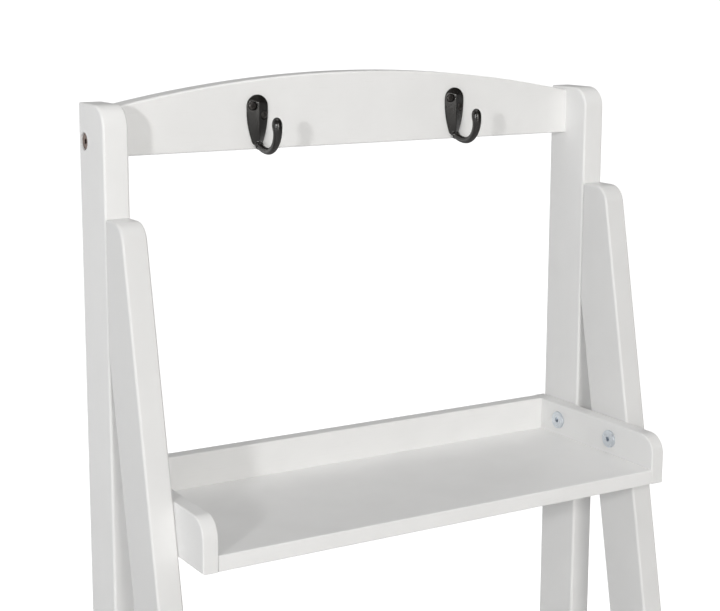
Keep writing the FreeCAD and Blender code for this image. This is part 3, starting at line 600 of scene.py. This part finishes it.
def add_arm(mesh, spot):
    """The arm, as rings of ARM_SIDES points along its stations, closed at both ends."""
    rings = []
    for out, down, heading, radius in arm_stations():
        ring = []
        for k in range(ARM_SIDES):
            turn = 2 * math.pi * k / ARM_SIDES
            across, up = radius * math.cos(turn), radius * math.sin(turn)
            ring.append(mesh.verts.new(spot(across, out - up * math.sin(heading),
                                            down - up * math.cos(heading))))
        rings.append(ring)
    for first, second in zip(rings, rings[1:]):
        for k in range(ARM_SIDES):
            after = (k + 1) % ARM_SIDES
            mesh.faces.new((first[k], first[after], second[after], second[k]))
    mesh.faces.new(list(reversed(rings[0])))
    mesh.faces.new(rings[-1])


def sink_screws(mesh, middle_x, rail_front, top):
    """Presses the two flat screw seats and their walls into the coated plate."""
    for vertex in mesh.vertices:
        out = rail_front - vertex.co.y
        if not SINK_BACK < out < SINK_FRONT:
            continue
        for side, down in ((-1, SCREW_DOWN[0]), (1, SCREW_DOWN[1])):
            away = math.hypot(vertex.co.x - middle_x - side * SCREW_ASIDE, top - down - vertex.co.z)
            wall = (away - SCREW_HEAD - SEAT_CLEARANCE) / SINK_WALL
            if wall < 1:
                floor = SEAT_OUT + max(0.0, wall) * (PLATE_RIDGE - SEAT_OUT)
                vertex.co.y = rail_front - min(out, floor)


def make_hook(name, node):
    low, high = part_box(node)
    middle_x, rail_front, top = (low.x + high.x) / 2, high.y, high.z

    def spot(aside, out, down):
        return Vector((middle_x + aside, rail_front - out, top - down))

    mesh = bmesh.new()
    add_plate(mesh, spot)
    add_arm(mesh, spot)
    bmesh.ops.remove_doubles(mesh, verts=mesh.verts, dist=1e-6)
    bmesh.ops.recalc_face_normals(mesh, faces=mesh.faces)
    rough = bpy.data.meshes.new(name + "_rough")
    mesh.to_mesh(rough)
    mesh.free()
    host = bpy.data.objects.new(name + "_rough", rough)
    bpy.context.scene.collection.objects.link(host)
    remesh = host.modifiers.new("cast", "REMESH")
    remesh.mode, remesh.voxel_size, remesh.use_smooth_shade = "VOXEL", CAST_VOXEL, True
    soften = host.modifiers.new("coat", "SMOOTH")
    soften.factor, soften.iterations = 0.5, 4
    cast = bpy.data.meshes.new_from_object(host.evaluated_get(bpy.context.evaluated_depsgraph_get()))
    bpy.data.objects.remove(host)
    cast.name = name
    sink_screws(cast, middle_x, rail_front, top)
    hook = bpy.data.objects.new(name, cast)
    bpy.context.scene.collection.objects.link(hook)
    cast.materials.append(black_coat)
    stand_in(hook, node)


black_coat, tree, shader, place = new_material("black_coat")
film = add(tree, "ShaderNodeGroup", {"Vector": place, "Peel per Metre": 2600.0}, node_tree=sprayed_film)
coat_tone = add(tree, "ShaderNodeMix", {
    0: film.outputs["Cloud"], 6: (0.006, 0.0055, 0.005, 1), 7: (0.012, 0.0105, 0.009, 1)}, data_type="RGBA")
tree.links.new(coat_tone.outputs[2], shader.inputs["Base Color"])
tree.links.new(maths(tree, "MULTIPLY_ADD", film.outputs["Cloud"], 0.1, 0.21), shader.inputs["Roughness"])
coat_bump = add(tree, "ShaderNodeBump", {
    "Height": film.outputs["Height"], "Strength": 0.35, "Distance": 0.00003})
tree.links.new(coat_bump.outputs[0], shader.inputs["Normal"])
shader.inputs["Specular IOR Level"].default_value = 0.7

make_hook("left_hook_casting", "left_hook")
make_hook("right_hook_casting", "right_hook")


# ---- the hooks' screws ----
# Two cross-recessed steel wood screws hold each hook, one each side of the ridge and the right one lower.
# They are blackened to match the hooks, turned and rolled from wire, and sit flat in the plate's seats.
screw_tree, given = new_tree("cross_screw", [
    "Head Radius", "Head Height", "Edge Round", "Shank Radius", "Length", "Pitch", "Point",
    "Cross Span", "Cross Width", "Cross Depth"])
screw_tip = maths(screw_tree, "ADD", given["Head Height"], given["Length"])
point_start = maths(screw_tree, "SUBTRACT", screw_tip, given["Point"])
screw_core = maths(screw_tree, "MULTIPLY", given["Shank Radius"], 0.72)
screw_blank = turned(screw_tree, [
    (0.0, 0.0), (maths(screw_tree, "MULTIPLY", given["Head Radius"], 0.75), 0.0),
    (given["Head Radius"], maths(screw_tree, "MULTIPLY", given["Head Height"], 0.35)),
    (given["Head Radius"], given["Head Height"]), (screw_core, given["Head Height"]),
    (screw_core, point_start), (0.0, screw_tip)], given["Edge Round"], 40)
cross_tools = []
for quarter in (0.0, math.pi / 2):
    bar_size = add(screw_tree, "ShaderNodeCombineXYZ", {
        0: given["Cross Span"], 1: given["Cross Width"],
        2: maths(screw_tree, "MULTIPLY", given["Cross Depth"], 2.0)})
    bar = add(screw_tree, "GeometryNodeMeshCube", {"Size": bar_size.outputs[0]})
    cross_tools.append(add(screw_tree, "GeometryNodeTransform", {
        "Geometry": bar.outputs["Mesh"], "Rotation": (0, 0, quarter + math.radians(20))}).outputs[0])
screw_thread = thread(screw_tree, screw_core, given["Pitch"],
                      maths(screw_tree, "ADD", given["Head Height"], given["Pitch"]),
                      maths(screw_tree, "SUBTRACT", given["Length"],
                            maths(screw_tree, "ADD", given["Point"], given["Pitch"])),
                      maths(screw_tree, "MULTIPLY", given["Shank Radius"], 0.3))
set_out(screw_tree, given, [cut_away(screw_tree, screw_blank, cross_tools), screw_thread])

black_screw = plated_steel("black_screw", (0.15, 0.14, 0.135, 1), (0.05, 0.046, 0.043, 1), 0.3, 0.2)
SCREW_HEAD_HEIGHT = 0.0017
for side in ("left", "right"):
    node = side + "_hook_screws"
    boxes = solids_in(node)
    low, high = boxes[0]
    places = [(Vector(((a.x + b.x) / 2, a.y, (a.z + b.z) / 2)), Vector((0, 1, 0))) for a, b in boxes]
    screws = make_pieces(side + "_hook_cross_screws", screw_tree, places, black_screw, {
        "Head Radius": (high.x - low.x) / 2, "Head Height": SCREW_HEAD_HEIGHT, "Edge Round": 0.00025,
        "Shank Radius": 0.0016, "Length": high.y - low.y - SCREW_HEAD_HEIGHT, "Pitch": 0.0014,
        "Point": 0.003, "Cross Span": 0.0032, "Cross Width": 0.0009, "Cross Depth": 0.0012})
    stand_in(screws, node)


# ---- the three trays ----
# Each tray is a shelf and a back board doweled between two cheeks with rounded front corners, all of
# 12 mm board. The grain runs along the shelf and the back, and from back to front in the cheeks, whose
# cut ends take the paint a little unevenly.
TRAYS = ("upper", "middle", "lower")
GRAIN_ALONG_Y = (math.pi / 2, 0, 0)
# painted shade: the cheeks' paint is darkened to 0.96 of the boards', so they read a little duller than the
# lamps alone make them
CHEEK_PAINTED_SHADE = 0.96
for k, tray in enumerate(TRAYS):
    shift = 0.37 * (k + 1)
    board_paint = painted_wood(tray + "_board_paint", turn=GRAIN_ALONG_X, offset=(shift, 0.8, 0.2))
    cheek_paint = painted_wood(tray + "_cheek_paint", turn=GRAIN_ALONG_Y, offset=(0.5, shift, 0.9),
                               shade=CHEEK_PAINTED_SHADE)
    finish_node(tray + "_tray_shelf", board_paint)
    finish_node(tray + "_tray_back", board_paint)
    finish_node(tray + "_tray_right_cheek", cheek_paint)
    finish_node(tray + "_tray_left_cheek", cheek_paint)
    make_dowels(tray + "_tray_dowels")


# ---- the trays' bolts and threaded inserts ----
# Four zinc-plated bolts a tray, with wide flat heads and hexagon sockets, run outwards through the cheeks
# into the posts and legs. Zinc inserts with a coarse outer thread are screwed into the wood to take them.
insert_tree, given = new_tree("threaded_insert", [
    "Radius", "Bore Radius", "Length", "Edge Round", "Pitch"])
insert_core = maths(insert_tree, "MULTIPLY_ADD", given["Pitch"], -0.4, given["Radius"])
sleeve = turned(insert_tree, [(0.0, 0.0), (insert_core, 0.0), (insert_core, given["Length"]),
                              (0.0, given["Length"])], given["Edge Round"], 40)
bore_depth = maths(insert_tree, "MULTIPLY", given["Length"], 2.0)
insert_bore = prism_cut(insert_tree, given["Bore Radius"], bore_depth, 32)
insert_thread = thread(insert_tree, insert_core, given["Pitch"], given["Edge Round"],
                       maths(insert_tree, "MULTIPLY", given["Length"], 0.94),
                       maths(insert_tree, "MULTIPLY", given["Pitch"], 0.4))
set_out(insert_tree, given, [cut_away(insert_tree, sleeve, [insert_bore]), insert_thread])

for tray in TRAYS:
    for kind in ("bolts", "inserts"):
        node = tray + "_tray_" + kind
        boxes = solids_in(node)
        places = []
        for low, high in boxes:
            middle = (low + high) / 2
            inner, outwards = (high.x, -1) if middle.x < 0 else (low.x, 1)
            places.append((Vector((inner, middle.y, middle.z)), Vector((outwards, 0, 0))))
        radius, length = (high.z - low.z) / 2, high.x - low.x
        if kind == "bolts":
            piece = make_pieces(tray + "_tray_socket_bolts", bolt_tree, places, zinc, {
                "Head Radius": radius, "Head Height": BOLT_HEAD, "Edge Round": 0.0005,
                "Shank Radius": BOLT_SHANK, "Length": length - BOLT_HEAD, "Pitch": BOLT_PITCH,
                "Threaded": 0.018, "Socket Radius": HEXAGON_RADIUS, "Socket Depth": HEXAGON_DEPTH})
        else:
            piece = make_pieces(tray + "_tray_wood_inserts", insert_tree, places, zinc, {
                "Radius": radius, "Bore Radius": BORE_RADIUS, "Length": length, "Edge Round": 0.0004,
                "Pitch": 0.0022})
        stand_in(piece, node)


# ---- the foot glides ----
# Round moulded plastic buttons on a nail, knocked into the foot of each post and leg, so that the end
# grain stands clear of a wet floor.
glide_tree, given = new_tree("nail_glide", ["Radius", "Height", "Edge Round", "Nail Radius", "Nail Length"])
nail_top = maths(glide_tree, "ADD", given["Height"], given["Nail Length"])
nail_point = maths(glide_tree, "MULTIPLY_ADD", given["Nail Radius"], -2.5, nail_top)
button = turned(glide_tree, [
    (0.0, 0.0), (given["Radius"], 0.0), (given["Radius"], given["Height"]),
    (given["Nail Radius"], given["Height"]), (given["Nail Radius"], nail_point), (0.0, nail_top)],
    given["Edge Round"], 48)
set_out(glide_tree, given, [button])

glide_plastic, tree, shader, place = new_material("glide_plastic")
film = add(tree, "ShaderNodeGroup", {"Vector": place, "Peel per Metre": 1600.0}, node_tree=sprayed_film)
glide_tone = add(tree, "ShaderNodeMix", {
    0: film.outputs["Cloud"], 6: (0.60, 0.60, 0.58, 1), 7: (0.68, 0.68, 0.66, 1)}, data_type="RGBA")
tree.links.new(glide_tone.outputs[2], shader.inputs["Base Color"])
tree.links.new(maths(tree, "MULTIPLY_ADD", film.outputs["Cloud"], 0.2, 0.4), shader.inputs["Roughness"])
glide_bump = add(tree, "ShaderNodeBump", {
    "Height": film.outputs["Height"], "Strength": 0.3, "Distance": 0.00005})
tree.links.new(glide_bump.outputs[0], shader.inputs["Normal"])

GLIDE_HEIGHT = 0.003
glide_boxes = solids_in("foot_glides")
glide_places = [(Vector(((a.x + b.x) / 2, (a.y + b.y) / 2, a.z)), Vector((0, 0, 1)))
                for a, b in glide_boxes]
low, high = glide_boxes[0]
glides = make_pieces("nail_glides", glide_tree, glide_places, glide_plastic, {
    "Radius": (high.x - low.x) / 2, "Height": GLIDE_HEIGHT, "Edge Round": 0.0009, "Nail Radius": 0.001,
    "Nail Length": high.z - low.z - GLIDE_HEIGHT})
stand_in(glides, "foot_glides")


# ---- floor and light ----
# A plain pale floor that runs out past the view, with soft studio light: a small key from the front left,
# wide soft boxes in front, overhead and to the left, and an even sky. Behind on the left the floor and the
# sky glow only in shiny surfaces, a painted reflection of a lit sweep.
FLOOR_REACH = 160.0
floor_mesh = bpy.data.meshes.new("floor")
floor_mesh.from_pydata([(-FLOOR_REACH, -FLOOR_REACH, 0), (FLOOR_REACH, -FLOOR_REACH, 0),
                        (FLOOR_REACH, FLOOR_REACH, 0), (-FLOOR_REACH, FLOOR_REACH, 0)], [], [(0, 1, 2, 3)])
floor = bpy.data.objects.new("floor", floor_mesh)
bpy.context.scene.collection.objects.link(floor)
FLOOR_GLOW = 0.88             # what the camera sees the floor give back on top of its own shading,
PAINTED_SWEEP_REFLECTION = 0.9              # and the painted reflection that shiny surfaces see glow behind on the left
pale_floor, tree, shader, place = new_material("pale_floor")
speckle = add(tree, "ShaderNodeTexNoise", {"Vector": place, "Scale": 90.0, "Detail": 3.0})
floor_tone = add(tree, "ShaderNodeMix", {
    0: speckle.outputs["Fac"], 6: (0.80, 0.80, 0.80, 1), 7: (0.83, 0.83, 0.83, 1)}, data_type="RGBA")
tree.links.new(floor_tone.outputs[2], shader.inputs["Base Color"])
shader.inputs["Roughness"].default_value = 0.8
shader.inputs["Emission Color"].default_value = (1, 1, 1, 1)
# painted reflection: only glossy rays see the floor glow in a patch behind on the left, standing for a lit
# sweep; camera rays see the even floor glow
ray = add(tree, "ShaderNodeLightPath")
parts = add(tree, "ShaderNodeSeparateXYZ", {0: place}).outputs
behind = add(tree, "ShaderNodeMapRange", {"Value": parts["Y"], "From Min": 0.6, "From Max": 3.0})
aside = add(tree, "ShaderNodeMapRange", {"Value": parts["X"], "From Min": 0.0, "From Max": -1.2})
sweep_patch = maths(tree, "MULTIPLY", behind.outputs["Result"], aside.outputs["Result"])
reflected_glow = maths(tree, "MULTIPLY", maths(tree, "MULTIPLY", sweep_patch, PAINTED_SWEEP_REFLECTION), ray.outputs["Is Glossy Ray"])
glow = add(tree, "ShaderNodeMix", {0: ray.outputs["Is Camera Ray"], 2: reflected_glow, 3: FLOOR_GLOW})
tree.links.new(glow.outputs[0], shader.inputs["Emission Strength"])
floor_mesh.materials.append(pale_floor)


def soft_light(name, place, aim, width, power, colour):
    """A square area light at place, facing aim."""
    data = bpy.data.lights.new(name, "AREA")
    data.size, data.energy, data.color = width, power, colour
    lamp = bpy.data.objects.new(name, data)
    lamp.location = place
    lamp.rotation_euler = (Vector(aim) - Vector(place)).to_track_quat("-Z", "Y").to_euler()
    bpy.context.scene.collection.objects.link(lamp)


soft_light("key", (-1.795, -1.25, 1.30), (0, 0, 0.95), 0.13, 12.8, (1.0, 0.995, 0.99))
soft_light("front", (-0.9, -6.4, 2.2), (0, 0, 0.8), 2.0, 134.0, (1.0, 0.98, 0.945))
soft_light("overhead", (0.0, -0.2, 2.8), (0, 0, 0.8), 1.5, 10.0, (1.0, 0.995, 0.985))
soft_light("left", (-3.4, -0.6, 1.0), (0, 0, 0.8), 1.5, 10.5, (0.96, 0.98, 1.0))

SKY_SEEN = 1.0
SKY_GIVEN = 0.33
SKY_MIRRORED = 0.04
sky = bpy.data.worlds.new("sky")
sky.use_nodes = True
bpy.context.scene.world = sky
sky_tree = sky.node_tree
sky_tree.nodes.clear()
sky_ray = add(sky_tree, "ShaderNodeLightPath")
direction = add(sky_tree, "ShaderNodeTexCoord").outputs["Generated"]
parts = add(sky_tree, "ShaderNodeSeparateXYZ", {0: direction}).outputs
# painted reflection: glossy rays see a dim sky with the same glowing patch behind on the left, which lights
# nothing else
behind = add(sky_tree, "ShaderNodeMapRange", {"Value": parts["Y"], "From Max": 0.5})
aside = add(sky_tree, "ShaderNodeMapRange", {"Value": parts["X"], "From Max": -0.4})
sweep_patch = maths(sky_tree, "MULTIPLY", behind.outputs["Result"], aside.outputs["Result"])
mirrored_sky = maths(sky_tree, "MULTIPLY_ADD", sweep_patch, PAINTED_SWEEP_REFLECTION, SKY_MIRRORED)
unseen = add(sky_tree, "ShaderNodeMix", {
    0: sky_ray.outputs["Is Glossy Ray"], 2: SKY_GIVEN, 3: mirrored_sky})
strength = add(sky_tree, "ShaderNodeMix", {
    0: sky_ray.outputs["Is Camera Ray"], 2: unseen.outputs[0], 3: SKY_SEEN}).outputs[0]
glow = add(sky_tree, "ShaderNodeBackground", {"Color": (1, 1, 1, 1), "Strength": strength})
add(sky_tree, "ShaderNodeOutputWorld", {"Surface": glow.outputs[0]})


# ---- camera ----
# It stands to the left in front of the rack at the rail's height and looks a little down, so that the top
# tray's floor and the inside of its right cheek show.
CAMERA_PLACE = Vector((-0.64816, -0.95987, 1.08587))
FORWARD = Vector((0.50808, 0.84248, -0.17912)).normalized()
LEVEL = Vector((0.85663, -0.51593, 0.00324)).normalized()
camera_data = bpy.data.cameras.new("camera")
camera_data.sensor_width = 36.0                    # millimetres, as is the lens
camera_data.lens = 79.861
camera_data.shift_y = -0.041
camera_data.clip_end = 400.0
camera = bpy.data.objects.new("camera", camera_data)
upright = LEVEL.cross(FORWARD).normalized()
level = FORWARD.cross(upright)
turn = Matrix((level, upright, -FORWARD)).transposed().to_4x4()
camera.matrix_world = Matrix.Translation(CAMERA_PLACE) @ turn
bpy.context.scene.collection.objects.link(camera)
bpy.context.scene.camera = camera
bpy.context.scene.view_settings.view_transform = "Standard"
